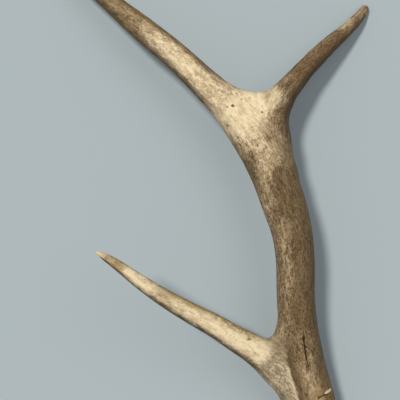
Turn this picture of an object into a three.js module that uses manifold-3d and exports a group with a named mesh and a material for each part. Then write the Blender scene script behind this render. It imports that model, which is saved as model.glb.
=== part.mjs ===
// A shed deer antler, lying on the rim of its burr and on the points of its two upper tines.
// Millimetres, +Z up. +Y runs from the burr to the fork, and +X is the back tine's side.
// The origin is on the ground, under the middle of the antler's box.

import * as THREE from 'three';
import { LoftGeometry } from 'three/addons/geometries/LoftGeometry.js';
import { mergeVertices } from 'three/addons/utils/BufferGeometryUtils.js';
import Module from 'manifold-3d';

const wasm = await Module();
wasm.setup();

const SIDES = 24; // points round every limb
const RINGS_PER_GAP = 2; // rings from one station to the next
const SAW_GAP = 0.3; // clear space where the antler is parted at a fork
const UP = new THREE.Vector3(0, 0, 1);

// Stations along each limb, from the burr outwards.
// Each is x, y, z of the centre, then half the width across the ground and half the depth.
const BEAM = [
  [107.5, -217, 27, 21, 20.5],
  [106.5, -204, 29, 19, 18.8],
  [104.5, -187, 31.5, 17.2, 17.6],
  [98, -163, 36, 16.6, 17.3],
  [92.5, -139, 40, 16.4, 17],
  [88.5, -116, 43.5, 16.3, 16.5],
  [86.5, -92, 46.5, 16, 16.4],
  [86, -66.5, 48.5, 16.3, 16.4],
  [82.8, -41, 49.5, 17.1, 16.6],
  [76, -18.5, 49.5, 18.4, 17],
  [68, 5, 48, 18.9, 17.2],
  [60.5, 26, 46, 21, 16.4],
  [55, 45, 44, 22.5, 15.2],
  [53, 58.5, 42.5, 17, 11.5],
];
const BROW_ROOT = [
  [100.4, -204.2, 29, 18, 17],
  [94.9, -189.8, 33.5, 17.9, 16.5],
  [88.6, -176.8, 37.5, 17.1, 16.2],
  [82.2, -168, 41, 16.3, 15.7],
  [72.6, -158.8, 45, 15.3, 14.8],
  [62.6, -149, 49, 14.1, 13.8],
];
const BROW_TINE = [
  [52.2, -141, 53, 12.6, 12.5],
  [34.4, -129.9, 60, 10.6, 10.6],
  [18, -119, 66, 9.7, 9.8],
  [-4, -106, 74, 8.3, 8.4],
  [-23, -94, 81, 7.2, 7.2],
  [-42, -80.5, 88, 5.9, 5.9],
  [-57, -68.5, 93.5, 4.6, 4.6],
  [-68, -60.5, 98, 3.1, 3.1],
  [-74, -57, 100, 1.6, 1.6],
];
const FRONT_ROOT = [
  [72, -7.5, 49, 16.8, 16.4],
  [62, 17.3, 47, 18.2, 16.4],
  [51.6, 34.1, 45.5, 17.5, 16],
  [39.2, 52.1, 44, 16.5, 15.2],
];
const FRONT_TINE = [
  [27.8, 65.8, 43, 14.8, 14.4],
  [10, 83, 41, 12.9, 13.1],
  [-5.5, 98, 39, 12, 12.4],
  [-20, 111.5, 36.5, 11.5, 11.9],
  [-35, 124, 34, 11.1, 11.3],
  [-51.5, 138, 31, 10.2, 10.3],
  [-65.5, 150, 28.5, 9, 9.2],
  [-82.5, 165.5, 25, 8, 8],
  [-100.5, 181, 20.5, 6.8, 6.8],
  [-119.5, 197, 15.5, 5.5, 5.5],
  [-137.5, 211, 9, 4.1, 4.1],
  [-155, 225, 2.4, 2.5, 2.5],
];
const BACK_ROOT = [
  [70.5, -3.5, 48.5, 15, 15],
  [72.7, 5, 47.7, 16, 15.6],
  [70.7, 17.5, 46.4, 14, 14.9],
  [69.5, 32, 45, 13.8, 14.3],
  [68.5, 52, 42.5, 12.5, 13.1],
];
const BACK_TINE = [
  [77.3, 73.7, 39, 11.1, 11.4],
  [85.3, 83.2, 36, 9.9, 10.2],
  [95.3, 95.7, 32, 8.7, 8.9],
  [108.4, 109.2, 27, 7.9, 7.9],
  [120.3, 120.7, 22, 7.1, 7.1],
  [135.2, 134.1, 15, 5.9, 5.9],
  [146.3, 145.6, 9, 5.1, 4.8],
  [153.6, 155.1, 3.2, 3.9, 3.3],
];
// The web in the crook of the fork, from one upper tine round to the other.
const CROOK = [
  [6, 88.5, 40.5, 9.3, 9.3],
  [20, 76.5, 41.5, 11.2, 11.5],
  [37, 66.5, 42.5, 12.3, 12.3],
  [53.5, 63.5, 42, 12, 12.3],
  [69.5, 68.5, 40, 10.7, 11.5],
  [82, 80.5, 36.5, 9.7, 10.3],
  [91, 92, 33.3, 8.2, 8.6],
];
// The web in the crotch between the brow tine and the beam.
const CROTCH = [
  [56.5, -143.5, 50, 9.2, 9.5],
  [64.5, -142.5, 47.5, 10.2, 10],
  [76.5, -135.5, 44.5, 10.2, 10],
  [79.5, -119.5, 43.5, 8.5, 9],
  [82, -105, 44, 6.5, 7],
];

// The burr is a knobbly ring round the base, and the seal is the domed scar under it.
// The profile holds distance up the burr's axis, radius, and the share of the knobs' height.
const BURR = {
  centre: new THREE.Vector3(107.5, -217, 26.9),
  axis: new THREE.Vector3(-0.27, 0.95, 0.16).normalize(),
  sides: 44,
  knobHeight: 0.9,
  // Two overlaid rows of knobs: how many in a turn, share of the height, and turn of the row.
  knobRows: [
    [9, 0.6, 0],
    [14, 0.4, 1],
  ],
  profile: [
    [-7.5, 3, 0],
    [-7, 9, 0],
    [-5.5, 15, 0],
    [-3.5, 19.5, 0],
    [-2.5, 23.5, 0.5],
    [-0.5, 26.3, 1],
    [2, 27.2, 1],
    [5, 26.3, 1],
    [7.5, 23.8, 0.6],
    [10, 20.5, 0.2],
    [14, 18, 0],
  ],
};

const SLEEVE_CLEARANCE = 3; // how far the cutting sleeve stands off the tine inside it
const TIP_ANGLES = [28, 54, 76].map(THREE.MathUtils.degToRad); // rings of a rounded point
const GROUND_SIZE = 600;
const SAME_POINT = 1e-3; // points this close are one point

const BONE = { roughness: 0.55, metalness: 0 };
const BEAM_COLOUR = new THREE.MeshStandardMaterial({ color: '#8d7557', ...BONE });
const BROW_COLOUR = new THREE.MeshStandardMaterial({ color: '#c6b08a', ...BONE });
const FRONT_COLOUR = new THREE.MeshStandardMaterial({ color: '#b89d74', ...BONE });
const BACK_COLOUR = new THREE.MeshStandardMaterial({ color: '#7a5f43', ...BONE });

// A ring of points round a centre, anticlockwise when seen against the way it faces.
function ring(centre, facing, wide, deep, sides = SIDES, bulge = () => 0) {
  const across = new THREE.Vector3().crossVectors(UP, facing).normalize();
  const over = new THREE.Vector3().crossVectors(facing, across);
  return Array.from({ length: sides }, (_, side) => {
    const angle = (side / sides) * 2 * Math.PI;
    return centre
      .clone()
      .addScaledVector(across, (wide + bulge(angle)) * Math.cos(angle))
      .addScaledVector(over, (deep + bulge(angle)) * Math.sin(angle));
  });
}

// A tapering limb that runs smoothly through its stations and ends in a rounded point.
function limb(stations) {
  const centres = stations.map(([x, y, z]) => new THREE.Vector3(x, y, z));
  const girths = stations.map(([, , , wide, deep]) => new THREE.Vector3(wide, deep, 0));
  const line = new THREE.CatmullRomCurve3(centres);
  const girth = new THREE.CatmullRomCurve3(girths);
  const steps = (stations.length - 1) * RINGS_PER_GAP;
  const rings = Array.from({ length: steps + 1 }, (_, step) => {
    const { x: wide, y: deep } = girth.getPoint(step / steps);
    return ring(line.getPoint(step / steps), line.getTangent(step / steps), wide, deep);
  });
  const end = line.getPoint(1);
  const facing = line.getTangent(1);
  const { x: wide, y: deep } = girth.getPoint(1);
  for (const angle of TIP_ANGLES) {
    const centre = end.clone().addScaledVector(facing, deep * Math.sin(angle));
    rings.push(ring(centre, facing, wide * Math.cos(angle), deep * Math.cos(angle)));
  }
  return new LoftGeometry(rings, { capStart: true, capEnd: true });
}

function knobWave(angle) {
  const waves = BURR.knobRows.map(([count, share, turn]) => share * Math.cos(count * angle + turn));
  return waves.reduce((a, b) => a + b);
}

function burr() {
  const rings = BURR.profile.map(([along, radius, knobShare]) => {
    const centre = BURR.centre.clone().addScaledVector(BURR.axis, along);
    const knobs = (angle) => BURR.knobHeight * knobShare * knobWave(angle);
    return ring(centre, BURR.axis, radius, radius, BURR.sides, knobs);
  });
  return new LoftGeometry(rings, { capStart: true, capEnd: true });
}

function ground() {
  return new THREE.BoxGeometry(GROUND_SIZE, GROUND_SIZE, GROUND_SIZE).translate(0, 0, -GROUND_SIZE / 2);
}

// A fatter copy of a tine, moved along it by a distance, which parts it from the antler.
function sleeve(stations, distance) {
  const fatter = stations.map(([x, y, z, wide, deep]) => [
    x,
    y,
    z,
    wide + SLEEVE_CLEARANCE,
    deep + SLEEVE_CLEARANCE,
  ]);
  const from = new THREE.Vector3(...stations[0]);
  const to = new THREE.Vector3(...stations[1]);
  const shift = to.sub(from).setLength(distance);
  return limb(fatter).translate(...shift);
}

function toSolid({ attributes: { position }, index: triangles }) {
  const surface = new THREE.BufferGeometry().setAttribute('position', position);
  const { attributes, index } = mergeVertices(surface.setIndex(triangles), SAME_POINT);
  const vertProperties = attributes.position.array;
  const triVerts = new Uint32Array(index.array);
  return new wasm.Manifold(new wasm.Mesh({ numProp: 3, vertProperties, triVerts }));
}

function toMesh(name, solid, material) {
  const { vertProperties, triVerts } = solid.getMesh();
  const geometry = new THREE.BufferGeometry();
  geometry.setAttribute('position', new THREE.BufferAttribute(vertProperties, 3));
  geometry.setIndex(new THREE.BufferAttribute(triVerts, 1));
  geometry.computeVertexNormals();
  const mesh = new THREE.Mesh(geometry, material);
  mesh.name = name;
  return mesh;
}

const limbs = [
  BEAM,
  [...BROW_ROOT, ...BROW_TINE],
  [...FRONT_ROOT, ...FRONT_TINE],
  [...BACK_ROOT, ...BACK_TINE],
  CROOK,
  CROTCH,
].map(limb);
const whole = [...limbs, burr()].map(toSolid).reduce((a, b) => a.add(b));
const grounded = whole.subtract(toSolid(ground()));

const tines = [
  ['brow_tine', BROW_TINE, BROW_COLOUR],
  ['front_tine', FRONT_TINE, FRONT_COLOUR],
  ['back_tine', BACK_TINE, BACK_COLOUR],
];
const antler = new THREE.Group();
let beam = grounded;
for (const [name, stations, colour] of tines) {
  const tine = grounded.intersect(toSolid(sleeve(stations, SAW_GAP / 2)));
  beam = beam.subtract(toSolid(sleeve(stations, -SAW_GAP / 2)));
  antler.add(toMesh(name, tine, colour));
}
antler.add(toMesh('beam', beam, BEAM_COLOUR));

export default antler;
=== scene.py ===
"""A shed deer antler on a pale floor: its fine surface, its colours, the light and the view.

The antler is sculpted in millimetres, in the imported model's frame, and each finished piece
is scaled to metres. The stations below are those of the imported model's limbs.
"""

import itertools
import math

import bmesh
import bpy
import numpy as np
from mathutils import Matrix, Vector


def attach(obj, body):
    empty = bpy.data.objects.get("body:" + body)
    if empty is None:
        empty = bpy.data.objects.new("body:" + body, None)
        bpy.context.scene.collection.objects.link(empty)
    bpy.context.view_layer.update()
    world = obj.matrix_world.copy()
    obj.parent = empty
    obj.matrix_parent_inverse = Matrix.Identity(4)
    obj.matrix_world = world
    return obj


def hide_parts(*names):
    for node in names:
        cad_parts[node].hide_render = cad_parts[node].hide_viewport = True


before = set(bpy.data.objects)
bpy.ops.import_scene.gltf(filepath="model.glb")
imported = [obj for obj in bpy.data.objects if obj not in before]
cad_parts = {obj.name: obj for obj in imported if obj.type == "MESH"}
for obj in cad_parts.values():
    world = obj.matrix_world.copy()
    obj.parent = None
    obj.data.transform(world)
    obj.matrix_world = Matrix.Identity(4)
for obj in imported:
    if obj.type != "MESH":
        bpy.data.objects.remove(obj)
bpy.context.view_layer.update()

METRES = 0.001  # metres in a millimetre
UP = np.array([0.0, 0.0, 1.0])

# The camera looks straight down on the antler, from the height and place that give the
# photograph's framing: a pixel is 0.85 mm at the height of the beam's axis.
CAMERA_PLACE = (6, -16, 750)
PIXEL_AT_BEAM = 0.85
BEAM_AXIS_HEIGHT = 40
PICTURE_WIDTH = 400
SENSOR_WIDTH = 36

# Stations along each limb, from the burr outwards.
# Each is x, y, z of the centre, then half the width across the ground and half the depth.
BEAM = [
    (107.5, -217, 27, 21, 20.5),
    (106.5, -204, 29, 19, 18.8),
    (104.5, -187, 31.5, 17.2, 17.6),
    (98, -163, 36, 16.6, 17.3),
    (92.5, -139, 40, 16.4, 17),
    (88.5, -116, 43.5, 16.3, 16.5),
    (86.5, -92, 46.5, 16, 16.4),
    (86, -66.5, 48.5, 16.3, 16.4),
    (82.8, -41, 49.5, 17.1, 16.6),
    (76, -18.5, 49.5, 18.4, 17),
    (68, 5, 48, 18.9, 17.2),
    (60.5, 26, 46, 21, 16.4),
    (55, 45, 44, 22.5, 15.2),
    (53, 58.5, 42.5, 17, 11.5),
]
BROW_ROOT = [
    (100.4, -204.2, 29, 18, 17),
    (94.9, -189.8, 33.5, 17.9, 16.5),
    (88.6, -176.8, 37.5, 17.1, 16.2),
    (82.2, -168, 41, 16.3, 15.7),
    (72.6, -158.8, 45, 15.3, 14.8),
    (62.6, -149, 49, 14.1, 13.8),
]
BROW_TINE = [
    (52.2, -141, 53, 12.6, 12.5),
    (34.4, -129.9, 60, 10.6, 10.6),
    (18, -119, 66, 9.7, 9.8),
    (-4, -106, 74, 8.3, 8.4),
    (-23, -94, 81, 7.2, 7.2),
    (-42, -80.5, 88, 5.9, 5.9),
    (-57, -68.5, 93.5, 4.6, 4.6),
    (-68, -60.5, 98, 3.1, 3.1),
    (-74, -57, 100, 1.6, 1.6),
]
FRONT_ROOT = [
    (72, -7.5, 49, 16.8, 16.4),
    (62, 17.3, 47, 18.2, 16.4),
    (51.6, 34.1, 45.5, 17.5, 16),
    (39.2, 52.1, 44, 16.5, 15.2),
]
FRONT_TINE = [
    (27.8, 65.8, 43, 14.8, 14.4),
    (10, 83, 41, 12.9, 13.1),
    (-5.5, 98, 39, 12, 12.4),
    (-20, 111.5, 36.5, 11.5, 11.9),
    (-35, 124, 34, 11.1, 11.3),
    (-51.5, 138, 31, 10.2, 10.3),
    (-65.5, 150, 28.5, 9, 9.2),
    (-82.5, 165.5, 25, 8, 8),
    (-100.5, 181, 20.5, 6.8, 6.8),
    (-119.5, 197, 15.5, 5.5, 5.5),
    (-137.5, 211, 9, 4.1, 4.1),
    (-155, 225, 2.4, 2.5, 2.5),
]
BACK_ROOT = [
    (70.5, -3.5, 48.5, 15, 15),
    (72.7, 5, 47.7, 16, 15.6),
    (70.7, 17.5, 46.4, 14, 14.9),
    (69.5, 32, 45, 13.8, 14.3),
    (68.5, 52, 42.5, 12.5, 13.1),
]
BACK_TINE = [
    (77.3, 73.7, 39, 11.1, 11.4),
    (85.3, 83.2, 36, 9.9, 10.2),
    (95.3, 95.7, 32, 8.7, 8.9),
    (108.4, 109.2, 27, 7.9, 7.9),
    (120.3, 120.7, 22, 7.1, 7.1),
    (135.2, 134.1, 15, 5.9, 5.9),
    (146.3, 145.6, 9, 5.1, 4.8),
    (153.6, 155.1, 3.2, 3.9, 3.3),
]
CROOK = [
    (6, 88.5, 40.5, 9.3, 9.3),
    (20, 76.5, 41.5, 11.2, 11.5),
    (37, 66.5, 42.5, 12.3, 12.3),
    (53.5, 63.5, 42, 12, 12.3),
    (69.5, 68.5, 40, 10.7, 11.5),
    (82, 80.5, 36.5, 9.7, 10.3),
    (91, 92, 33.3, 8.2, 8.6),
]
CROTCH = [
    (56.5, -143.5, 50, 9.2, 9.5),
    (64.5, -142.5, 47.5, 10.2, 10),
    (76.5, -135.5, 44.5, 10.2, 10),
    (79.5, -119.5, 43.5, 8.5, 9),
    (82, -105, 44, 6.5, 7),
]
BURR_CENTRE = np.array([107.5, -217, 26.9])
BURR_AXIS = np.array([-0.27, 0.95, 0.16])
BURR_PROFILE = [  # distance up the axis, radius
    (-7.5, 3),
    (-7, 9),
    (-5.5, 15),
    (-3.5, 19.5),
    (-2.5, 23.5),
    (-0.5, 26.3),
    (2, 27.2),
    (5, 26.3),
    (7.5, 23.8),
    (10, 20.5),
    (14, 18),
]

SIDES = 64  # points round a limb before the surface is remeshed
RING_STEP = 2.5  # millimetres between rings
VOXEL = 0.85  # the fine mesh's spacing in millimetres
TIP_ANGLES = np.radians([15, 30, 45, 60, 72, 82])  # rings of a rounded point
BATCHES = 16  # parts in which many places are read, to save memory

# ---------------------------------------------------------------- the limbs' centre lines


def unit(vectors):
    return vectors / np.linalg.norm(vectors, axis=-1, keepdims=True)


def through(stations):
    """Rows close together on a smooth line through the stations, as CatmullRomCurve3 makes."""
    rows = np.array(stations, float)
    rows = np.vstack([2 * rows[0] - rows[1], rows, 2 * rows[-1] - rows[-2]])
    knots = np.linalg.norm(np.diff(rows[:, :3], axis=0), axis=1) ** 0.5
    found = []
    for i in range(1, len(rows) - 2):
        before, here, after = knots[i - 1 : i + 2]
        steps = np.diff(rows[i - 1 : i + 3], axis=0)
        start = steps[0] / before - (steps[0] + steps[1]) / (before + here) + steps[1] / here
        end = steps[1] / here - (steps[1] + steps[2]) / (here + after) + steps[2] / after
        count = max(2, round(np.linalg.norm(steps[1][:3]) / RING_STEP))
        t = (np.arange(count) / count)[:, None]
        found.append(
            (2 * t**3 - 3 * t**2 + 1) * rows[i]
            + (t**3 - 2 * t**2 + t) * start * here
            + (3 * t**2 - 2 * t**3) * rows[i + 1]
            + (t**3 - t**2) * end * here
        )
    return np.vstack([*found, rows[-2:-1]])


class Line:
    """A limb's centre line, with its girth and its own directions at every point."""

    def __init__(self, stations, begins=0.0):
        rows = through(stations)
        self.points, self.girths = rows[:, :3], rows[:, 3:]
        steps = np.linalg.norm(np.diff(self.points, axis=0), axis=1)
        self.along = begins + np.concatenate([[0], np.cumsum(steps)])
        self.facing = unit(np.gradient(self.points, axis=0))
        self.across = unit(np.cross(UP, self.facing))
        self.over = np.cross(self.facing, self.across)

    def rings(self):
        """Rings of points along the limb, closing over its outer end."""
        rows = list(zip(self.points, self.girths, self.facing))
        end, girth, facing = rows[-1]
        for angle in TIP_ANGLES:
            centre = end + facing * girth[1] * math.sin(angle)
            rows.append((centre, girth * math.cos(angle), facing))
        return [ring(*row) for row in rows]

    def nearest(self, places):
        """The number of the line's point that is nearest to each place."""
        squares = (self.points**2).sum(1)
        return np.concatenate(
            [
                np.argmin(squares - 2 * part @ self.points.T, axis=1)
                for part in np.array_split(places, BATCHES)
            ]
        )

    def read(self, places):
        """How each place lies on the limb: distance along, across and over it, and its girth.

        Seen from above with the limb's tip away, side is 1 on its left edge and -1 on its right.
        """
        nearest = self.nearest(places)
        ahead = ((places - self.points[nearest]) * self.facing[nearest]).sum(1) / RING_STEP
        exact = np.clip(nearest + np.clip(ahead, -0.5, 0.5), 0, len(self.points) - 1)
        low = np.floor(exact).astype(np.int64)
        high = np.minimum(low + 1, len(self.points) - 1)
        share = (exact - low)[:, None]

        def here(values):
            return values[low] * (1 - share) + values[high] * share

        offset = places - here(self.points)
        u = (offset * here(self.across)).sum(1)
        v = (offset * here(self.over)).sum(1)
        past_end = (offset * here(self.facing)).sum(1)
        girths = here(self.girths)
        side, top = u / girths[:, 0], v / girths[:, 1]
        along = here(self.along[:, None])[:, 0]
        return {
            "along": along,
            "grain": np.stack([u, v, along], axis=1),
            "side": side,
            "top": top,
            "out": np.sqrt(side**2 + top**2 + (past_end / girths[:, 0]) ** 2),
            "girth": girths.mean(1),
        }


def ring(centre, girth, facing):
    across = unit(np.cross(UP, facing))
    over = np.cross(facing, across)
    angles = np.arange(SIDES) / SIDES * 2 * math.pi
    return (
        centre
        + np.outer(np.cos(angles), across) * girth[0]
        + np.outer(np.sin(angles), over) * girth[1]
    )


def burr_rings():
    axis = unit(BURR_AXIS)
    return [
        ring(BURR_CENTRE + axis * along, (radius, radius), axis) for along, radius in BURR_PROFILE
    ]


# ---------------------------------------------------------------- random fields

# Whole numbers that scatter the bits of a cell's place and of the seed.
AXIS_FACTORS = (73856093, 19349663, 83492791)
SEED_FACTOR = 7919
MIXERS = (0x9E3779B97F4A7C15, 0xBF58476D1CE4E5B9)
FOLD_BITS = 29
BITS_KEPT = 24


def hashed(cells, seed):
    """A repeatable random number from 0 to 1 for each whole-numbered cell."""
    x, y, z = (cells[:, i].astype(np.uint64) * np.uint64(AXIS_FACTORS[i]) for i in range(3))
    mixed = ((x ^ y ^ z) + np.uint64(seed * SEED_FACTOR)) * np.uint64(MIXERS[0])
    mixed ^= mixed >> np.uint64(FOLD_BITS)
    mixed *= np.uint64(MIXERS[1])
    return (mixed >> np.uint64(64 - BITS_KEPT)).astype(float) / 2**BITS_KEPT


def noise(places, seed):
    """A smooth random field from -1 to 1, with lumps about one unit across."""
    cells = np.floor(places).astype(np.int64)
    part = places - cells
    ease = part * part * (3 - 2 * part)
    total = np.zeros(len(places))
    for corner in itertools.product((0, 1), repeat=3):
        share = np.where(np.array(corner), ease, 1 - ease).prod(axis=1)
        total += share * hashed(cells + np.array(corner), seed)
    return total * 2 - 1


def beads(places, seed):
    """Rounded lumps about one unit apart: 1 on top of each, and 0 between them."""
    cells = np.floor(places).astype(np.int64)
    nearest = np.full(len(places), 9.0)
    for corner in itertools.product((-1, 0, 1), repeat=3):
        cell = cells + np.array(corner)
        middle = cell + np.stack([hashed(cell, seed + i) for i in range(3)], axis=1)
        nearest = np.minimum(nearest, ((places - middle) ** 2).sum(1))
    return np.clip(1 - nearest * 1.6, 0, 1)


def ramp(values, low, high):
    """0 below low, 1 above high, and a smooth rise between."""
    t = np.clip((values - low) / (high - low), 0, 1)
    return t * t * (3 - 2 * t)


def band(values, low, rise, fall, high):
    """1 between rise and fall, 0 outside low and high, and smooth in between."""
    return ramp(values, low, rise) * (1 - ramp(values, fall, high))


# ---------------------------------------------------------------- the whole antler's surface


def closed_tube(rings):
    """Vertices and faces of a closed tube through rings of points."""
    count = len(rings)
    verts = np.vstack([*rings, rings[0].mean(0), rings[-1].mean(0)])
    faces = []
    for i in range(count - 1):
        for j in range(SIDES):
            k = (j + 1) % SIDES
            faces.append((i * SIDES + j, i * SIDES + k, (i + 1) * SIDES + k, (i + 1) * SIDES + j))
    first, last = count * SIDES, count * SIDES + 1
    for j in range(SIDES):
        k = (j + 1) % SIDES
        faces.append((first, k, j))
        faces.append((last, (count - 1) * SIDES + j, (count - 1) * SIDES + k))
    return verts, faces


LIMBS = [
    BEAM,
    BROW_ROOT + BROW_TINE,
    FRONT_ROOT + FRONT_TINE,
    BACK_ROOT + BACK_TINE,
    CROOK,
    CROTCH,
]


def limb_tubes():
    """A mesh of all limbs as closed tubes, which run into each other."""
    verts, faces = [], []
    for rings in [*(Line(limb).rings() for limb in LIMBS), burr_rings()]:
        base = sum(len(v) for v in verts)
        new_verts, new_faces = closed_tube(rings)
        verts.append(new_verts)
        faces += [tuple(i + base for i in face) for face in new_faces]
    mesh = bpy.data.meshes.new("limbs")
    mesh.from_pydata(np.vstack(verts).tolist(), [], faces)
    return mesh


def rough_union():
    """All limbs as one even mesh of small quads."""
    rough = bpy.data.objects.new("limbs", limb_tubes())
    bpy.context.scene.collection.objects.link(rough)
    remesh = rough.modifiers.new("even", "REMESH")
    remesh.mode = "VOXEL"
    remesh.voxel_size = VOXEL
    depsgraph = bpy.context.evaluated_depsgraph_get()
    even = bpy.data.meshes.new_from_object(rough.evaluated_get(depsgraph))
    bpy.data.objects.remove(rough)
    return even


def read_rows(items, key, width=3, kind=float):
    """A row of values for each of a mesh's vertices, edges, faces or corners."""
    values = np.zeros(len(items) * width, kind)
    items.foreach_get(key, values)
    return values.reshape(-1, width)


def write_places(mesh, places):
    mesh.vertices.foreach_set("co", places.ravel())
    mesh.update()


def relaxed(ends, values, pull, rounds):
    """Each point's values after they are drawn towards its neighbours', several times."""
    moving = ends[(pull[ends] > 0).any(1)]
    used, moving = np.unique(moving, return_inverse=True)
    a, b = moving.reshape(-1, 2).T
    count = len(used)
    degree = np.bincount(a, minlength=count) + np.bincount(b, minlength=count)
    pull = pull[used] / degree
    columns = values[used].T.copy()
    for _ in range(rounds):
        for column in columns:
            total = np.bincount(a, column[b], count) + np.bincount(b, column[a], count)
            column += pull * (total - degree * column)
    result = values.copy()
    result[used] = columns.T
    return result


# Where limbs meet, the creases between them are smoothed away: place, then radius.
BLENDS = [
    ((48, 58, 44), 46),
    ((84, 82, 38), 22),
    ((66, 22, 46), 30),
    ((87, 8, 47), 26),
    ((70, -138, 46), 24),
    ((80, -118, 44), 18),
    ((84, -160, 38), 24),
    ((94, -182, 34), 20),
    ((104, -204, 29), 16),
    ((6, 86, 41), 18),
    ((90, 97, 34), 20),
]
BLEND_PULL = 0.6
BLEND_ROUNDS = 170
EVEN_PULL = 0.5
EVEN_ROUNDS = 4
BURR_KEPT = (9, 15)  # distances up the burr's axis where the blending comes in


def smooth_joins(mesh):
    """Soften the steps that the even mesh has all over, and the creases between limbs."""
    ends = read_rows(mesh.edges, "vertices", 2, np.int64)
    places = read_rows(mesh.vertices, "co")
    places = relaxed(ends, places, np.full(len(places), EVEN_PULL), EVEN_ROUNDS)
    near = np.zeros(len(places))
    for centre, radius in BLENDS:
        distance = np.linalg.norm(places - centre, axis=1)
        near = np.maximum(near, 1 - ramp(distance, 0.5 * radius, radius))
    near *= ramp((places - BURR_CENTRE) @ unit(BURR_AXIS), *BURR_KEPT) * BLEND_PULL
    softer = relaxed(ends, places, near, BLEND_ROUNDS)
    girth_lost = relaxed(ends, places - softer, near, BLEND_ROUNDS)
    write_places(mesh, softer + girth_lost)


# ---------------------------------------------------------------- parting and refining

CUTS = {  # each tine is parted from the beam across its first station
    "brow_tine": BROW_TINE,
    "front_tine": FRONT_TINE,
    "back_tine": BACK_TINE,
}
CUT_REACH = 30  # how far the cut is felt from the tine's middle
CUT_MARGIN = 2  # how far from the cut's plane the faces to be cut are looked for
CUT_WITHIN = 1e-3  # points this close to the plane count as on it when it is cut
SNAP_WITHIN = 5e-3  # and this close when they are put back on it
BROW_SIDE = (66, -45)  # the brow tine lies at lower x and y than these
FINE_SPOTS = [  # places whose details are finer than the mesh: centre, then radius
    ((92.5, -134, 56), 9),
    ((95.5, -149, 54), 9),
    ((110, -179, 47), 10),
]
FINE_CUTS = 2


def cut_plane(stations):
    start, after = np.array(stations[0][:3], float), np.array(stations[1][:3], float)
    return start, unit(after - start)


def renumber(whole):
    for elements in (whole.verts, whole.edges, whole.faces):
        elements.index_update()


def part_at(whole, stations):
    """Give the surface a line of edges round the first station of a tine."""
    start, facing = (Vector(v) for v in cut_plane(stations))
    near = {
        v
        for v in whole.verts
        if (v.co - start).length < CUT_REACH and abs((v.co - start).dot(facing)) < CUT_MARGIN
    }
    edges = {e for v in near for e in v.link_edges}
    faces = {f for v in near for f in v.link_faces}
    verts = {v for f in faces for v in f.verts}
    bmesh.ops.bisect_plane(
        whole,
        geom=[
            *sorted(verts, key=lambda v: v.index),
            *sorted(edges | {e for f in faces for e in f.edges}, key=lambda e: e.index),
            *sorted(faces, key=lambda f: f.index),
        ],
        dist=CUT_WITHIN,
        plane_co=start,
        plane_no=facing,
    )
    renumber(whole)


def refine_at(whole, centre, radius):
    near = [e for e in whole.edges if (e.verts[0].co - Vector(centre)).length < radius]
    bmesh.ops.subdivide_edges(whole, edges=near, cuts=FINE_CUTS, use_grid_fill=True)
    renumber(whole)


def part_and_refine(mesh):
    whole = bmesh.new()
    whole.from_mesh(mesh)
    for stations in CUTS.values():
        part_at(whole, stations)
    for centre, radius in FINE_SPOTS:
        refine_at(whole, centre, radius)
    whole.to_mesh(mesh)
    whole.free()


# ---------------------------------------------------------------- where a point lies

FORK_START = 10  # stations of the beam below the fork
BACK_ALONG = 217  # how far along the beam the back tine's line begins
BROW_ALONG = 13  # and the brow tine's
MAIN = Line(BEAM[:FORK_START] + FRONT_ROOT[1:] + FRONT_TINE)
BACK = Line(BACK_ROOT + BACK_TINE, begins=BACK_ALONG)
BROW = Line(BROW_ROOT + BROW_TINE, begins=BROW_ALONG)
BACK_BEGINS = (224, 266)  # distances between which the back tine's own grain fades in
LIMB_BLEND = 3  # millimetres over which one limb's grain gives way to another's


class Where:
    """How every point of the antler lies on its limbs."""

    def __init__(self, places):
        self.places = places
        self.x, self.y, self.z = places.T
        limbs = [line.read(places) for line in (MAIN, BACK, BROW)]
        gaps = np.stack([abs(limb["out"] - 1) * limb["girth"] for limb in limbs])
        shares = np.exp((gaps.min(0) - gaps) / LIMB_BLEND)
        shares[1] *= ramp(limbs[1]["along"], *BACK_BEGINS)
        shares /= shares.sum(0)
        self.main, self.back, self.brow = shares
        self.side, self.top = (
            sum(share * limb[key] for share, limb in zip(shares, limbs)) for key in ("side", "top")
        )
        self.main_along, self.brow_along = limbs[0]["along"], limbs[2]["along"]
        self.up_burr = (places - BURR_CENTRE) @ unit(BURR_AXIS)
        # The beam and front tine share one grain, and the two side limbs hold another.
        self.branch = self.back + self.brow
        self.grain = limbs[0]["grain"]
        on_back = (self.back > self.brow)[:, None]
        self.side_grain = np.where(on_back, limbs[1]["grain"], limbs[2]["grain"])


def drawn_out(where, sizes, seed, bend=0.0):
    """A random field that is stretched along the limbs: its lumps' sizes across, over, along."""
    main = noise(where.grain / sizes + bend, seed)
    side = noise(where.side_grain / sizes + bend, seed)
    return main + where.branch * (side - main)


def spot(where, centre, reach, power=1.0):
    """1 at a place seen from above, falling to 0 at its reach in x and y, on the upper side."""
    out = ((where.x - centre[0]) / reach[0]) ** 2 + ((where.y - centre[1]) / reach[1]) ** 2
    return np.clip(1 - out, 0, 1) ** power * ramp(where.top, -0.2, 0.3)


# ---------------------------------------------------------------- relief

BURR_TOP = 12  # how far up the burr's axis its beads reach
BASE_LENGTH = 75  # how far up the beam the pearls thin out


def undulation(where):
    """Slow swellings that keep the limbs from looking turned on a lathe."""
    return 0.3 * drawn_out(where, (18, 18, 44), 1) + 0.09 * drawn_out(where, (8, 8, 19), 2)


def furrows(where):
    """Fine channels along the limbs, deeper on the beam than on the rubbed tines."""
    lines = drawn_out(where, (2.1, 2.1, 20), 3) + 0.7 * drawn_out(where, (1.3, 1.3, 9), 4)
    beam = 1 - ramp(where.main_along, 190, 260) * where.main - where.back * 0.5
    rubbed = ramp(where.brow_along, 60, 95) * where.brow
    return lines * (0.035 + 0.065 * np.clip(beam - rubbed, 0, 1))


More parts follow.
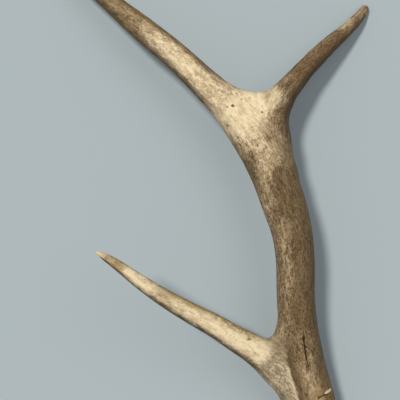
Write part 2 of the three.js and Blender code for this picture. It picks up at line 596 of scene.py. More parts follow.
def channels(where):
    """Shallow winding grooves where blood vessels lay, on the sides and back of the beam."""
    wander = noise(where.grain / (60, 60, 34), 5)
    angle = np.arctan2(where.top, where.side) + 0.35 * wander
    strips = ramp(np.cos(angle * 5 + 0.8), 0.86, 1)
    strips *= ramp(noise(where.grain / (30, 30, 50), 6), -0.1, 0.3)
    beam = where.main * (1 - ramp(where.main_along, 180, 230)) * ramp(where.up_burr, 12, 30)
    return -0.5 * strips * beam * (1 - ramp(where.top, -0.1, 0.5))


ROOT_EDGE = [  # y and x of the line where the root's light surface meets the brown beam
    (-205, 96.5),
    (-180.6, 88.4),
    (-171.4, 85.3),
    (-162.2, 82.3),
    (-153.1, 79.6),
    (-148.5, 78),
    (-125, 77.2),
    (-105, 74),
]


def inside_root(where):
    """How far each point lies on the root's side of its edge, in millimetres."""
    return np.interp(where.y, *zip(*ROOT_EDGE)) - where.x


def root_share(where):
    """1 on the light wrinkled root of the brow tine, and 0 on the beam beside it."""
    crisp = 1 - ramp(where.y, -158, -140)
    loose = 3 - 2 * crisp
    inside = inside_root(where) + 0.5 * loose * noise(where.places / 3, 7)
    left = ramp(inside / loose, -0.8, 1.1)
    upwards = 1 - 0.5 * ramp(where.y, -162, -138) - 0.5 * ramp(where.y, -122, -96)
    beyond = ramp(where.brow_along, 62, 84) * where.brow
    faded = np.maximum(upwards, beyond) * (1 - ramp(where.brow_along, 76, 100))
    return left * faded * ramp(where.top, -0.5, 0.2)


def root_ridge(where):
    """The low ridge along the root's edge, with a furrow on the beam's side of it."""
    inside = inside_root(where) + 0.4 * noise(where.places / 4, 45)
    lower = (1 - ramp(where.y, -160, -146)) * (where.top > 0)
    return lower * (0.45 * band(inside, -0.3, 1.2, 1.8, 4.5) - 0.12 * band(inside, -3.5, -1.5, -1, 0))


def wrinkles(where):
    """Small winding grooves over the root of the brow tine and low on the beam."""
    bend = np.stack([noise(where.places / 7, seed) for seed in (8, 9, 10)], axis=1)
    folds = ramp(abs(drawn_out(where, (3.6, 3.6, 11), 11, 0.7 * bend)), 0, 0.36) - 0.75
    low = 0.4 * (1 - ramp(where.up_burr, 15, BASE_LENGTH)) * (1 - where.brow)
    on_root = 1.5 * root_share(where) * (1 - ramp(where.brow_along, 70, 92))
    return 0.24 * folds * np.clip(on_root + low, 0, 1)


def pearls(where):
    """Rounded grains, close together over the burr and thinning out up the beam."""
    fine = beads(where.places / 4.2, 12) * 0.5 + beads(where.places / 2.6, 15) * 0.2
    thin = ramp(noise(where.places / 9, 18), -0.2, 0.6)
    up = 1 - ramp(where.up_burr, BURR_TOP, BASE_LENGTH)
    return fine * thin * up * ramp(where.up_burr, 8, BURR_TOP) * 0.9


def burr_beads(where):
    """The burr's knobs, with deep gaps between them, and the rough scar beneath."""
    rim = ramp(where.up_burr, -4, -1) * (1 - ramp(where.up_burr, 7, BURR_TOP))
    knobs = beads(where.places / (7, 7, 7), 21) * 2.1 + beads(where.places / 3.4, 24) * 0.7 - 1.1
    scar = 1 - ramp(where.up_burr, -4.5, -2.5)
    pores = -0.5 * beads(where.places / 2.1, 27) + 0.5 * noise(where.places / 4, 30)
    return rim * knobs + scar * pores


# Cracks hold x and y down their middle, and half their breadth.
CRACK = [
    (92.4, -128.2, 0.5),
    (92.1, -130.4, 1.5),
    (92.1, -132.6, 1.5),
    (92.5, -134.8, 0.9),
    (92.9, -137.2, 0.75),
    (93.3, -141, 0.75),
    (93.8, -145, 0.8),
    (94.6, -148.6, 0.75),
    (95.6, -152.2, 0.7),
    (96.4, -156, 0.3),
]
SIDE_CRACK = [(92.8, -136.6, 0.6), (93.9, -137.9, 0.7), (95.7, -138.5, 0.4)]
FAINT_CRACK = [(94, -152.5, 0.2), (94.4, -156.4, 0.6), (94.9, -160.2, 0.3)]


def groove(where, route):
    """1 along the middle of a crack seen from above, and 0 outside it."""
    deepest = np.zeros(len(where.x))
    here = np.stack([where.x, where.y], axis=1)
    wobble = 0.25 * noise(where.places / 1.7, 33)
    for start, end in itertools.pairwise(np.array(route, float)):
        from_start, run = here - start[:2], end[:2] - start[:2]
        t = np.clip(from_start @ run / (run @ run), 0, 1)
        distance = np.linalg.norm(from_start - np.outer(t, run), axis=1) + wobble
        wide = start[2] + t * (end[2] - start[2])
        deepest = np.maximum(deepest, 1 - ramp(distance / wide, 0.25, 1))
    return deepest * (where.top > 0)


def cracks(where):
    main, side, faint = (groove(where, route) for route in (CRACK, SIDE_CRACK, FAINT_CRACK))
    return np.maximum.reduce([main, 0.8 * side, 0.4 * faint])


CHIP = (104, -180)  # the shallow scar where a flake has split away
FLAKE = (113.6, -177.4)  # the pale splinter that still stands at its end
FLAKE_TURN = math.radians(24)
FLAKE_LENGTH, FLAKE_WIDTH = 3.9, 1.5  # half of each
SLIT = [(104.8, -184.5, 0.3), (106, -182, 0.8), (109, -180.3, 0.9), (114.5, -179.6, 0.3)]


def flake(where):
    """1 on the splinter beside the chip, which tapers to both ends."""
    dx, dy = where.x - FLAKE[0], where.y - FLAKE[1]
    along = (dx * math.cos(FLAKE_TURN) + dy * math.sin(FLAKE_TURN)) / FLAKE_LENGTH
    over = (dy * math.cos(FLAKE_TURN) - dx * math.sin(FLAKE_TURN)) / FLAKE_WIDTH
    ragged = 0.2 * noise(where.places / 1.2, 48)
    return (1 - ramp(along**2 + over**2 + ragged, 0.35, 1)) * (where.top > 0)


def chip(where):
    return spot(where, CHIP, (9, 9), 1.5)


PITS = [  # dents in the smooth bone at the fork: x, y, reach in x and in y, how dark
    (33.1, 62.4, 1.9, 1.4, 1),
    (34.6, 61.7, 1.2, 0.8, 0.7),
    (28.6, 61.2, 0.9, 1.2, 0.7),
    (57.7, 57.2, 1.0, 1.1, 0.9),
    (51.9, 60.3, 1.2, 1.9, 0.3),
    (40.6, 67.9, 1.5, 1.2, 0.5),
    (28.7, 45.8, 1.5, 1.3, 0.6),
    (37.4, 35.9, 1.1, 1.5, 0.6),
    (53.6, 29.2, 1.5, 1.5, 0.55),
    (50, 37.2, 1, 1.2, 0.5),
]
SCRATCH = [(36.4, 58.4, 0.2), (39, 56, 0.7), (41.6, 52.8, 0.3)]


def pits(where):
    """1 at the bottom of the darkest pit, less in the others and in the scratch beside them."""
    ragged = 1 + 0.4 * noise(where.places / 0.9, 42)
    deepest = 0.35 * groove(where, SCRATCH)
    for x, y, wide, high, share in PITS:
        pit = spot(where, (x, y), (wide * ragged, high * ragged))
        deepest = np.maximum(deepest, share * pit)
    return deepest


def nicks(where):
    """Scattered small dents along the tines."""
    holes = ramp(beads(where.places / 9, 36), 0.82, 1)
    rooted = 1 - root_share(where)
    return holes * ramp(noise(where.places / 14, 39), 0.1, 0.5) * ramp(where.up_burr, 50, 90) * rooted


SMOOTH_IN_CHIP = 0.6  # share of the fine relief that is missing in the chip
CRACK_DEPTH = 1.8
CHIP_DEPTH = 0.35
SLIT_DEPTH = 1.1
FLAKE_HEIGHT = 1.2
PIT_DEPTH = 0.3
NICK_DEPTH = 0.15


def relief(where):
    """How far every point stands out from the swelling limbs, in millimetres."""
    height = furrows(where) + channels(where) + wrinkles(where) + pearls(where)
    height *= 1 - SMOOTH_IN_CHIP * chip(where)
    height += burr_beads(where) + root_ridge(where)
    height -= CRACK_DEPTH * cracks(where)
    height -= CHIP_DEPTH * chip(where) + SLIT_DEPTH * groove(where, SLIT)
    height += FLAKE_HEIGHT * flake(where)
    height -= PIT_DEPTH * pits(where) + NICK_DEPTH * nicks(where)
    return height


# ---------------------------------------------------------------- colour fields

# The ramps and bands below run over y or a distance along a limb, both in millimetres, or
# over side and top, which are 1 and -1 on a limb's surface.

CREAM_EDGE = [  # y, x of the border between the fork's cream and the brown, half its breadth
    (-16, 50, 18),
    (20, 62, 18),
    (34, 63, 18),
    (46, 62, 17),
    (58, 66, 13),
    (68, 77, 10),
    (76, 77, 9),
    (82, 70, 8),
    (110, 60, 8),
]
FORK_CREAM = 0.86  # how pale the fork is outside its painted highlight
HOLLOW_DEPTH = 0.5  # between the relief's hollows and its tops, as the material sees them
# Spots of colour: x and y, reach in x and in y, power, and how strong.
# a painted highlight, where the main light falls brightest on the fork
FORK_HIGHLIGHT = [(50, 62, 20, 14, 0.5, 0.14)]
TAN_BY_FORK = [(27, 68, 14, 14, 1, 0.1)]
BELOW_FORK = [(61, 24, 16, 24, 1.3, 0.5), (58, 4, 9, 19, 1, 0.26), (48, 31, 13, 10, 1, 0.4)]
PALE_ON_FRONT = [(-7, 96, 13, 13, 1, 0.1)]
PALE_ON_BACK = [(132, 137, 11, 10, 1, 0.34), (81, 84, 9, 10, 1, 0.14)]
PALE_ABOVE_BEAM = [(77, 30, 13, 32, 1.5, 0.34), (62, -10, 11, 24, 1, 0.2)]
PALE_ON_BEAM = [
    (81, -80, 5, 24, 1, 0.2),
    (77, -46, 8, 24, 1, 0.2),
    (89, -116, 16, 24, 1, 0.08),
    (93, -152, 15, 32, 1, 0.28),
    (89, -176, 10, 26, 1, 0.34),
    (100, -182, 14, 28, 1, 0.18),
    (103, -182, 5, 9, 1, 0.2),
]
# Darker spots: in the crook between the tines, two small ones where the tines part from the beam, and
# one in the crotch by the brow tine.
DARKER_SPOTS = [
    (78, 60, 13, 34, 1, 0.5),
    (67, -11, 2.5, 5, 1, 0.5),
    (68, -23, 3, 7, 1, 0.3),
    (72, -137, 7, 10, 1, 0.3),
]
ORANGE = [
    (-60, -65, 10, 9, 0.6, 0.8),
    (104, -182, 8, 11, 0.8, 0.8),
    (110, -180, 9, 24, 1, 0.3),
]
REDDISH = [(86, -118, 12, 16, 1, 0.3)]
NOTCH = [(46, -130, 2.6, 1.4, 1, 0.7)]  # on the upper edge of the brow tine, near its root


def painted(where, spots):
    """The sum of several spots' strengths at each point."""
    total = np.zeros(len(where.x))
    for x, y, wide, high, power, share in spots:
        total += share * spot(where, (x, y), (wide, high), power)
    return total


def cream_of_fork(where):
    """Cream over the fork and the middle of the front tine, which browns towards its sides."""
    y, x, breadth = zip(*CREAM_EDGE)
    inside = (np.interp(where.y, y, x) - where.x) / np.interp(where.y, y, breadth)
    fork = ramp(inside, -1, 1) * ramp(where.y, 4, 48) * (1 - where.brow)
    # the painted highlight makes the middle of the fork palest, and a tan spot dims it beside
    fork *= (FORK_CREAM + painted(where, FORK_HIGHLIGHT)) * (1 - painted(where, TAN_BY_FORK))
    fork = np.maximum(fork, painted(where, BELOW_FORK))
    strip = band(where.side, -1.02, -0.28, 0.5, 1.15) * ramp(where.top, -0.5, 0.3)
    fork *= 1 - ramp(where.main_along, 290, 335) * where.main * (1 - strip)
    browning = 0.14 * ramp(where.main_along, 285, 325) + 0.46 * ramp(where.main_along, 366, 414)
    browning -= painted(where, PALE_ON_FRONT)
    return fork * (1 - browning) * ramp(where.top, -0.6, 0.4)


def cream_of_brow(where):
    """Cream along the brow tine, which is speckled half way and darker before its tip."""
    strip = band(where.side, -1.2, -0.75, 0.45, 0.95) * ramp(where.top, -0.7, 0.2)
    speckled = 0.28 * band(where.brow_along, 170, 190, 198, 212)
    speckled += 0.16 * band(where.brow_along, 140, 158, 172, 182)
    towards_tip = 0.28 * ramp(where.brow_along, 224, 238)
    pale = (0.25 + 0.75 * strip) * (1 - speckled - towards_tip)
    return where.brow * ramp(where.brow_along, 76, 98) * pale


def cream_of_beam(where):
    """Faint lighter patches on the brown beam, and painted light on its left side, which faces the
    main light.
    """
    low = (1 - ramp(where.up_burr, 42, 80)) * (1 - ramp(-where.side, 0.1, 0.6))
    # painted light on the beam's left side, which faces the main light
    painted_light_on_left = band(where.side, 0.15, 0.6, 1.0, 1.3) * band(where.y, -144, -118, -30, 0)
    return painted(where, PALE_ON_BEAM) + 0.32 * low + 0.22 * painted_light_on_left


def cream(where):
    """How pale the bone is, from 0 on brown bone to 1 on cream: mostly rubbed bone and paler patches,
    with painted light on sides that face the main light and painted highlights on the fork and on the
    root's ridge.
    """
    # the back tine pales towards its tip, and painted light makes its upper left side paler, where
    # the main light falls
    back = 0.03 + 0.25 * ramp(where.y, 136, 150) + 0.16 * ramp(where.side, 0.2, 0.8)
    back += painted(where, PALE_ON_BACK)
    others = where.back * back + where.main * cream_of_beam(where)
    others += painted(where, PALE_ABOVE_BEAM)
    root = 0.7 * root_share(where)
    # painted highlight along the low ridge at the root's edge
    ridge = 0.85 * ramp(root_ridge(where), 0.02, 0.45)
    # rubbed bone, together with the painted highlights on the fork and the ridge
    rubbed = [cream_of_fork(where), cream_of_brow(where), root, ridge, 0.8 * chip(where)]
    rubbed = np.maximum.reduce(rubbed)
    return np.clip(rubbed + others * (1 - rubbed), 0, 1)


def shade_on_beam_and_back_tine(where):
    """Painted shade on the right side of the beam in mid length and on the back tine's lower right
    side, away from the main light, and a darker inner edge of the back tine near the crook.
    """
    # painted shade on the beam's right side, which turns away from the main light
    beam = 0.42 * band(where.y, -150, -112, -60, -25) * ramp(-where.side, 0.2, 0.9)
    # painted shade on the back tine's lower right side, away from the main light
    outer = 0.95 * ramp(-where.side, 0.1, 0.75) * (1 - 0.45 * ramp(where.y, 118, 134))
    inner = 0.35 * ramp(where.side, 0.3, 0.8) * (1 - ramp(where.y, 84, 96))
    return np.maximum(where.main * beam, where.back * np.maximum(outer, inner))


def stained_left(where):
    """The left side of the front tine from the fork outwards, and both sides of its end."""
    at_fork = 0.55 * ramp(where.side, 0.35, 0.95) * band(where.main_along, 248, 268, 280, 300)
    edge = 0.75 * ramp(where.side, 0.6, 0.95) * ramp(where.main_along, 270, 330)
    outwards = 0.75 * ramp(where.side, 0.1, 0.75) * ramp(where.main_along, 366, 404)
    far_end = 0.85 * ramp(-where.side, 0.15, 0.65) * ramp(where.main_along, 412, 430)
    return np.maximum.reduce([at_fork, edge, outwards, far_end])


def stain_and_shade(where):
    """How much darker the bone is: painted shade on the sides turned from the main light and by the
    root, stains along the front tine, darker spots, and a darker underside.
    """
    under = 0.25 * ramp(-where.top, 0.1, 0.8)
    # painted shade along the brow tine's lower left edge, which turns away from the light
    low_side = where.side + 0.15 * ramp(where.brow_along, 140, 170)
    low_edge = 0.85 * where.brow * ramp(low_side, 0.35, 0.85) * ramp(where.brow_along, 60, 100)
    # painted shade along the lower left edge of the brow tine's root
    by_root = 0.6 * ramp(inside_root(where), 5, 15) * ramp(-where.y, 168, 182)
    sides = [shade_on_beam_and_back_tine(where), stained_left(where), under, low_edge, by_root]
    return np.clip(np.maximum.reduce([*sides, painted(where, DARKER_SPOTS)]), 0, 1)


def ochre(where):
    """How strongly the bone is stained orange-brown."""
    specks = band(where.brow_along, 96, 112, 190, 206) * ramp(-where.side, 0.45, 0.95)
    mottled = 0.45 * band(where.brow_along, 180, 190, 196, 206) * ramp(-where.side, -0.6, 0.5)
    brow = where.brow * np.maximum(specks, mottled)
    outer = 0.45 * ramp(abs(where.side), 0.55, 0.95) * ramp(where.main_along, 300, 370)
    front = where.main * (outer + 0.3 * ramp(where.main_along, 380, 415))
    return np.clip(np.maximum.reduce([painted(where, ORANGE), brow, front]), 0, 1)


def reddish(where):
    """How red the clouds in the brown bone are."""
    return 0.25 + 0.55 * where.back + painted(where, REDDISH)


def dark(where):
    """How much dirt is held in a crack or a dent."""
    deep = 0.9 * np.maximum(cracks(where), groove(where, SLIT))
    dents = np.maximum(0.85 * ramp(pits(where), 0.1, 0.8), painted(where, NOTCH))
    return np.maximum(deep, dents)


def fields(where, height):
    """What the material reads at every point."""
    low = 1 - ramp(where.up_burr, 6, BURR_TOP + 10)
    # the ridge holds less chalk, so that its painted highlight shows
    wrinkled = root_share(where) * (1 - 0.5 * ramp(root_ridge(where), 0.05, 0.45))
    return {
        "cream": cream(where),
        "stain_and_shade": stain_and_shade(where),
        "ochre": ochre(where),
        "reddish": reddish(where),
        "dark": dark(where),
        "hollow": np.clip(0.5 - height / HOLLOW_DEPTH, 0, 1),
        "chalk": np.clip(0.75 * wrinkled + 0.5 * low, 0, 1),
        "ivory": np.maximum(flake(where), where.brow * ramp(where.brow_along, 250, 256)),
        "burr": low,
        "branch": where.branch,
    }


# ---------------------------------------------------------------- the four pieces

FOOT_KEPT = (0.2, 5)  # heights above the ground between which the relief comes in


class Surface:
    """The whole antler's finished surface: points, normals, faces and colour fields."""

    def __init__(self, mesh):
        where = Where(read_rows(mesh.vertices, "co"))
        height = relief(where)
        moved = (undulation(where) + height) * ramp(where.z, *FOOT_KEPT)
        places = where.places + read_rows(mesh.vertex_normals, "vector") * moved[:, None]
        places[:, 2] = np.maximum(places[:, 2], 0)
        self.totals = read_rows(mesh.polygons, "loop_total", 1, np.int64)[:, 0]
        self.corners = read_rows(mesh.loops, "vertex_index", 1, np.int64)[:, 0]
        self.places = self.snapped(where.places, places)
        write_places(mesh, self.places)
        self.normals = read_rows(mesh.vertex_normals, "vector")
        self.middles = read_rows(mesh.polygons, "center")
        self.fields = fields(where, height)
        self.grains = {"grain": where.grain, "side_grain": where.side_grain}

    @staticmethod
    def snapped(before, after):
        """Points that lay on a cut go back to its plane."""
        for stations in CUTS.values():
            start, facing = cut_plane(stations)
            on_cut = abs((before - start) @ facing) < SNAP_WITHIN
            on_cut &= np.linalg.norm(before - start, axis=1) < CUT_REACH
            off = ((after - start) @ facing) * on_cut
            after = after - off[:, None] * facing
        return after

    def owners(self):
        """The piece that each face belongs to."""
        owners = np.full(len(self.middles), "beam", dtype="<U12")
        for name, stations in CUTS.items():
            start, facing = cut_plane(stations)
            beyond = (self.middles - start) @ facing > 0
            if name == "brow_tine":
                beyond &= (self.middles[:, 0] < BROW_SIDE[0]) & (self.middles[:, 1] < BROW_SIDE[1])
            owners[beyond] = name
        return owners


def open_rims(corners, totals):
    """The corners round each hole, in the order that a face closing it needs."""
    last = np.cumsum(totals) - 1
    following = np.roll(corners, -1)
    following[last] = corners[np.concatenate([[0], last[:-1] + 1])]
    sides = set(zip(corners.tolist(), following.tolist()))
    onward = {b: a for a, b in sides if (b, a) not in sides}
    rims = []
    while onward:
        rim = [next(iter(sorted(onward)))]
        while rim[-1] in onward:
            rim.append(onward.pop(rim[-1]))
        rims.append(rim[:-1])
    return rims


def piece_mesh(surface, name, faces, of_piece):
    """A piece's mesh, with what its material reads at every point."""
    mesh = bpy.data.meshes.new(name + "_bone")
    mesh.from_pydata((of_piece(surface.places) * METRES).tolist(), [], faces)
    for field, values in surface.fields.items():
        layer = mesh.attributes.new(field, "FLOAT", "POINT")
        layer.data.foreach_set("value", of_piece(values))
    for grain, vectors in surface.grains.items():
        layer = mesh.attributes.new(grain, "FLOAT_VECTOR", "POINT")
        layer.data.foreach_set("vector", of_piece(vectors).ravel())
    mesh.shade_smooth()
    return mesh


def part_piece(surface, owners, name):
    """One piece of the antler as an object, closed where it was parted."""
    kept = owners == name
    of_corner = np.repeat(kept, surface.totals)
    used, corners = np.unique(surface.corners[of_corner], return_inverse=True)
    totals = surface.totals[kept]
    faces = [face.tolist() for face in np.split(corners, np.cumsum(totals)[:-1])]
    outside = len(faces)
    hubs = []
    for rim in open_rims(corners, totals):
        hub = len(used) + len(hubs)
        hubs.append(used[rim])
        faces += [[rim[i - 1], rim[i], hub] for i in range(len(rim))]

    def with_hubs(values):
        return np.concatenate([values[used], *(values[rim].mean(0, keepdims=True) for rim in hubs)])

    mesh = piece_mesh(surface, name, faces, with_hubs)
    normals = surface.normals[used[corners]].tolist()
    for polygon in mesh.polygons[outside:]:
        normals += [tuple(polygon.normal)] * polygon.loop_total
    mesh.normals_split_custom_set(normals)
    piece = bpy.data.objects.new(name + "_bone", mesh)
    bpy.context.scene.collection.objects.link(piece)
    return piece


# ---------------------------------------------------------------- material


class Shade:
    """Short names for building a material's nodes."""

    def __init__(self, name):
        self.material = bpy.data.materials.new(name)
        self.material.use_nodes = True
        self.tree = self.material.node_tree
        self.shader = self.tree.nodes["Principled BSDF"]

    def join(self, value, socket):
        if isinstance(value, bpy.types.NodeSocket):
            self.tree.links.new(value, socket)
        else:
            socket.default_value = value

    def node(self, kind, values, **settings):
        made = self.tree.nodes.new(kind)
        for key, value in settings.items():
            setattr(made, key, value)
        for key, value in values.items():
            self.join(value, made.inputs[key])
        return made.outputs

    def field(self, name):
        """A value that the mesh holds at every point."""
        return self.node("ShaderNodeAttribute", {}, attribute_name=name)["Fac"]

    def noise_along(self, grain, sizes, detail, rough):
        """A noise in one grain's coordinates, with lumps of these sizes across, over, along."""
        vector = self.node("ShaderNodeAttribute", {}, attribute_name=grain)["Vector"]
        scale = [1 / size for size in sizes]
        vector = self.node("ShaderNodeMapping", {"Vector": vector, "Scale": scale})["Vector"]
        values = {"Vector": vector, "Scale": 1.0, "Detail": detail, "Roughness": rough}
        return self.node("ShaderNodeTexNoise", values)["Fac"]

    def noise(self, sizes, detail=3.0, rough=0.55):
        """A noise that is stretched along whichever limb each point lies on."""
        main = self.noise_along("grain", sizes, detail, rough)
        side = self.noise_along("side_grain", sizes, detail, rough)
        return self.mix(self.field("branch"), main, side, "FLOAT", "VALUE")

    def maths(self, operation, a, b, clamp=False):
        made = self.tree.nodes.new("ShaderNodeMath")
        made.operation, made.use_clamp = operation, clamp
        self.join(a, made.inputs[0])
        self.join(b, made.inputs[1])
        return made.outputs[0]

    def ramp(self, value, low, high, start=0.0, end=1.0):
        values = {"Value": value, "From Min": low, "From Max": high, "To Min": start, "To Max": end}
        return self.node("ShaderNodeMapRange", values, interpolation_type="SMOOTHSTEP")["Result"]

    def mix(self, share, a, b, data="RGBA", socket="RGBA"):
        """A share of b in a: colours, unless the kinds of data and socket are named."""
        made = self.tree.nodes.new("ShaderNodeMix")
        made.data_type = data
        self.join(share, made.inputs["Factor"])
        for key, value in (("A", a), ("B", b)):
            self.join(value, next(s for s in made.inputs if (s.name, s.type) == (key, socket)))
        return next(s for s in made.outputs if s.type == socket)


DEEP_BROWN = (0.055, 0.030, 0.012, 1)
DARK_BROWN = (0.090, 0.057, 0.022, 1)
BROWN = (0.152, 0.101, 0.044, 1)
LIGHT_BROWN = (0.265, 0.188, 0.098, 1)
TAN = (0.37, 0.266, 0.152, 1)
CREAM = (0.64, 0.485, 0.285, 1)
PALE_CREAM = (0.90, 0.74, 0.475, 1)
ORANGE_BROWN = (0.41, 0.245, 0.090, 1)
RED_BROWN = (0.160, 0.086, 0.042, 1)
CHALK = (0.50, 0.415, 0.275, 1)
IVORY = (0.70, 0.55, 0.32, 1)
DIRT = (0.045, 0.020, 0.003, 1)
OLIVE = (0.150, 0.112, 0.038, 1)


def brown_bone(shade, flecks):
    """Stained bone: soft flecked streaks of browns along the grain, with reddish clouds."""
    streaks = shade.noise((1.7, 1.7, 9), 4, 0.65)
    patches = shade.noise((5, 5, 14), 4)
    base = shade.mix(shade.ramp(patches, 0.32, 0.68), DARK_BROWN, BROWN)
    base = shade.mix(shade.ramp(streaks, 0.42, 0.76, 0, 0.85), base, LIGHT_BROWN)
    base = shade.mix(shade.ramp(streaks, 0.24, 0.46, 0.6, 0), base, DEEP_BROWN)
    clouds = shade.noise((10, 10, 16), 3)
    base = shade.mix(share_of(shade, "reddish", clouds, 0.35, 0.65, 0.2, 1.0), base, RED_BROWN)
    base = shade.mix(shade.ramp(flecks, 0.52, 0.68, 0, 0.7), base, LIGHT_BROWN)
    return shade.mix(shade.ramp(flecks, 0.32, 0.47, 0.75, 0), base, DEEP_BROWN)


def cream_bone(shade):
    """Rubbed bone: cream with paler clouds and a few tan streaks."""
    clouds = shade.noise((4, 4, 9), 5, 0.65)
    streaks = shade.noise((1.3, 1.3, 4.5), 3, 0.6)
    base = shade.mix(shade.ramp(clouds, 0.34, 0.58), CREAM, PALE_CREAM)
    return shade.mix(shade.ramp(streaks, 0.56, 0.74, 0, 0.35), base, TAN)


def share_of(shade, name, noise, low, high, least, most):
    """A field broken up by a noise, which runs from least to most of it."""
    return shade.maths("MULTIPLY", shade.field(name), shade.ramp(noise, low, high, least, most))


def rubbed_level(shade, flecks, tufts):
    """How rubbed the bone is, broken up most where it is half brown and half cream."""
    pale = shade.field("cream")
    between = shade.maths("MULTIPLY", pale, shade.maths("SUBTRACT", 1.0, pale))
    fine = shade.ramp(flecks, 0.25, 0.75, -0.9, 0.9)
    coarse = shade.ramp(tufts, 0.25, 0.75, -1.0, 1.0)
    wander = shade.maths("MULTIPLY", between, shade.maths("ADD", fine, coarse))
    return shade.maths("ADD", pale, wander)


def winding_lines(shade):
    """Thin lines that wind over the chalky bone, along the middle value of a noise."""
    wave = shade.noise((2.8, 2.8, 7), 2)
    off = shade.maths("ABSOLUTE", shade.maths("SUBTRACT", wave, 0.5), 0.0)
    return shade.maths("MULTIPLY", shade.field("chalk"), shade.ramp(off, 0.005, 0.05, 1.1, 0))


def with_stains_and_shade(shade, colour, flecks, tufts):
    """A colour with its orange and olive patches, its darker sides, which are partly stains and
    partly painted shade, and the pale worn tip.
    """
    orange = share_of(shade, "ochre", tufts, 0.4, 0.6, 0.08, 1.0)
    colour = shade.mix(orange, colour, ORANGE_BROWN)
    olive = share_of(shade, "ochre", flecks, 0.5, 0.62, 0, 0.85)
    colour = shade.mix(olive, colour, OLIVE)
    # darkens the sides with stains and with painted shade, as the field holds both
    marked = share_of(shade, "stain_and_shade", tufts, 0.25, 0.75, 1.0, 0.5)
    colour = shade.mix(marked, colour, DEEP_BROWN)
    return shade.mix(shade.field("ivory"), colour, IVORY)


def with_specks(shade, colour):
    """A colour with its dark hollows, its specks, and the dirt in cracks and dents."""
    colour = shade.mix(shade.ramp(shade.field("hollow"), 0.55, 1.0, 0, 0.5), colour, DARK_BROWN)
    specks = shade.noise((1.3, 1.3, 1.9), 1)
    colour = shade.mix(shade.ramp(specks, 0.64, 0.76, 0, 0.55), colour, DARK_BROWN)
    grains = shade.noise((1.0, 1.0, 1.5), 1)
    colour = shade.mix(shade.ramp(grains, 0.64, 0.78, 0, 0.3), colour, TAN)
    return shade.mix(shade.field("dark"), colour, DIRT)


def bone_colour(shade, lines):
    """Brown bone where it is stained, tan on the border, and cream where it is rubbed."""
    flecks = shade.noise((1.1, 1.1, 2.2), 2, 0.65)
    tufts = shade.noise((2.8, 2.8, 7), 4, 0.62)
    level = rubbed_level(shade, flecks, tufts)
    colour = shade.mix(shade.ramp(level, 0.05, 0.5), brown_bone(shade, flecks), TAN)
    colour = shade.mix(shade.ramp(level, 0.4, 0.95), colour, cream_bone(shade))
    colour = shade.mix(share_of(shade, "chalk", tufts, 0.3, 0.7, 0.5, 1.0), colour, CHALK)
    colour = shade.mix(lines, colour, LIGHT_BROWN)
    return with_specks(shade, with_stains_and_shade(shade, colour, flecks, tufts))


def bone_roughness(shade):
    """Half polished where the bone is pale, and dull where it is stained or dirty."""
    worn = shade.ramp(shade.noise((3, 3, 14), 3), 0.3, 0.7, 0.44, 0.6)
    polish = shade.maths("MULTIPLY", shade.field("cream"), -0.08)
    marked = shade.maths("MAXIMUM", shade.field("dark"), shade.field("burr"))
    dull = shade.maths("MULTIPLY", marked, 0.25)
    return shade.maths("ADD", shade.maths("ADD", worn, polish), dull, True)


SPECULAR = 0.15  # bone that has dried out shines little
GRAIN_DEPTH = 0.0006  # metres
GRAIN_STRENGTH = 0.9


def bone_grain(shade, lines):
    """The finest threads and pores, and the winding lines, as bumps."""
    threads = shade.ramp(shade.noise((0.8, 0.8, 6), 3), 0.2, 0.8, 0, 0.7)
    pores = shade.ramp(shade.noise((0.7, 0.7, 1.1), 2), 0.2, 0.8, 0, 0.5)
    height = shade.maths("SUBTRACT", shade.maths("ADD", threads, pores), lines)
    grain = {"Height": height, "Strength": GRAIN_STRENGTH, "Distance": GRAIN_DEPTH}
    return shade.node("ShaderNodeBump", grain)["Normal"]


def antler_material():
    shade = Shade("antler_bone")
    lines = winding_lines(shade)
    shade.join(bone_colour(shade, lines), shade.shader.inputs["Base Color"])
    shade.join(bone_roughness(shade), shade.shader.inputs["Roughness"])
    shade.join(SPECULAR, shade.shader.inputs["Specular IOR Level"])
    shade.join(bone_grain(shade, lines), shade.shader.inputs["Normal"])
    return shade.material


# ---------------------------------------------------------------- floor, light and view

FLOOR_SIZE = 60.0  # metres from here on
FLOOR_COLOUR = (0.36, 0.415, 0.435, 1)
FLOOR_ROUGHNESS = 0.85
ROOM_COLOUR = (0.94, 0.97, 1.0, 1)
ROOM_STRENGTH = 0.36
LIGHTS = [  # name, where it comes from, its spread in degrees, strength, colour
    ("main", (-0.38, 0.34, 1), 9, 2.4, (1.0, 0.97, 0.92)),
    ("second", (0.5, 0.35, 1), 40, 0.5, (0.97, 0.98, 1.0)),
]


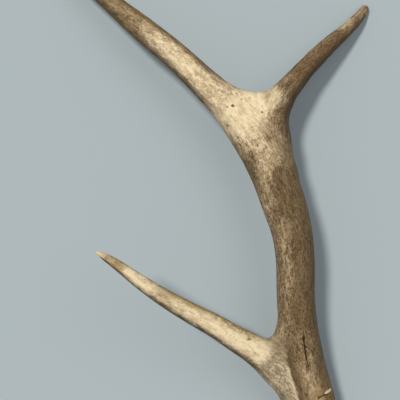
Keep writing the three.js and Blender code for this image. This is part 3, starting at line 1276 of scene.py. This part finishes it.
def floor():
    half = FLOOR_SIZE / 2
    corners = [(-half, -half, 0), (half, -half, 0), (half, half, 0), (-half, half, 0)]
    mesh = bpy.data.meshes.new("floor")
    mesh.from_pydata(corners, [], [(0, 1, 2, 3)])
    plane = bpy.data.objects.new("floor", mesh)
    bpy.context.scene.collection.objects.link(plane)
    shade = Shade("floor")
    shade.join(FLOOR_COLOUR, shade.shader.inputs["Base Color"])
    shade.join(FLOOR_ROUGHNESS, shade.shader.inputs["Roughness"])
    mesh.materials.append(shade.material)


def soft_light(name, comes_from, spread, strength, colour):
    """A light as broad as its spread in degrees, which falls evenly on the whole floor."""
    light = bpy.data.lights.new(name, "SUN")
    light.angle = math.radians(spread)
    light.energy = strength
    light.color = colour
    lamp = bpy.data.objects.new(name, light)
    lamp.rotation_euler = Vector(comes_from).to_track_quat("Z", "Y").to_euler()
    bpy.context.scene.collection.objects.link(lamp)


def studio():
    """A warm main light from the upper left, a weaker one from the right, and a pale room."""
    for light in LIGHTS:
        soft_light(*light)
    world = bpy.data.worlds.new("room")
    world.use_nodes = True
    background = world.node_tree.nodes["Background"]
    background.inputs["Color"].default_value = ROOM_COLOUR
    background.inputs["Strength"].default_value = ROOM_STRENGTH
    bpy.context.scene.world = world
    bpy.context.scene.view_settings.view_transform = "Standard"


def camera():
    height = CAMERA_PLACE[2] - BEAM_AXIS_HEIGHT
    lens = SENSOR_WIDTH * height / (PIXEL_AT_BEAM * PICTURE_WIDTH)
    data = bpy.data.cameras.new("camera")
    data.sensor_width = SENSOR_WIDTH
    data.lens = lens
    viewer = bpy.data.objects.new("camera", data)
    viewer.location = Vector(CAMERA_PLACE) * METRES
    bpy.context.scene.collection.objects.link(viewer)
    bpy.context.scene.camera = viewer


# ---------------------------------------------------------------- making it

SLOTS = {
    "beam": "brown_bone",
    "back_tine": "brown_bone",
    "brow_tine": "ivory_bone",
    "front_tine": "ivory_bone",
}

camera()
floor()
studio()
whole = rough_union()
smooth_joins(whole)
part_and_refine(whole)
surface = Surface(whole)
owners = surface.owners()
bpy.data.meshes.remove(whole)
bone = antler_material()
for name, slot in SLOTS.items():
    piece = part_piece(surface, owners, name)
    piece.data.materials.append(bone)
    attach(piece, "root")
    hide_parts(name)
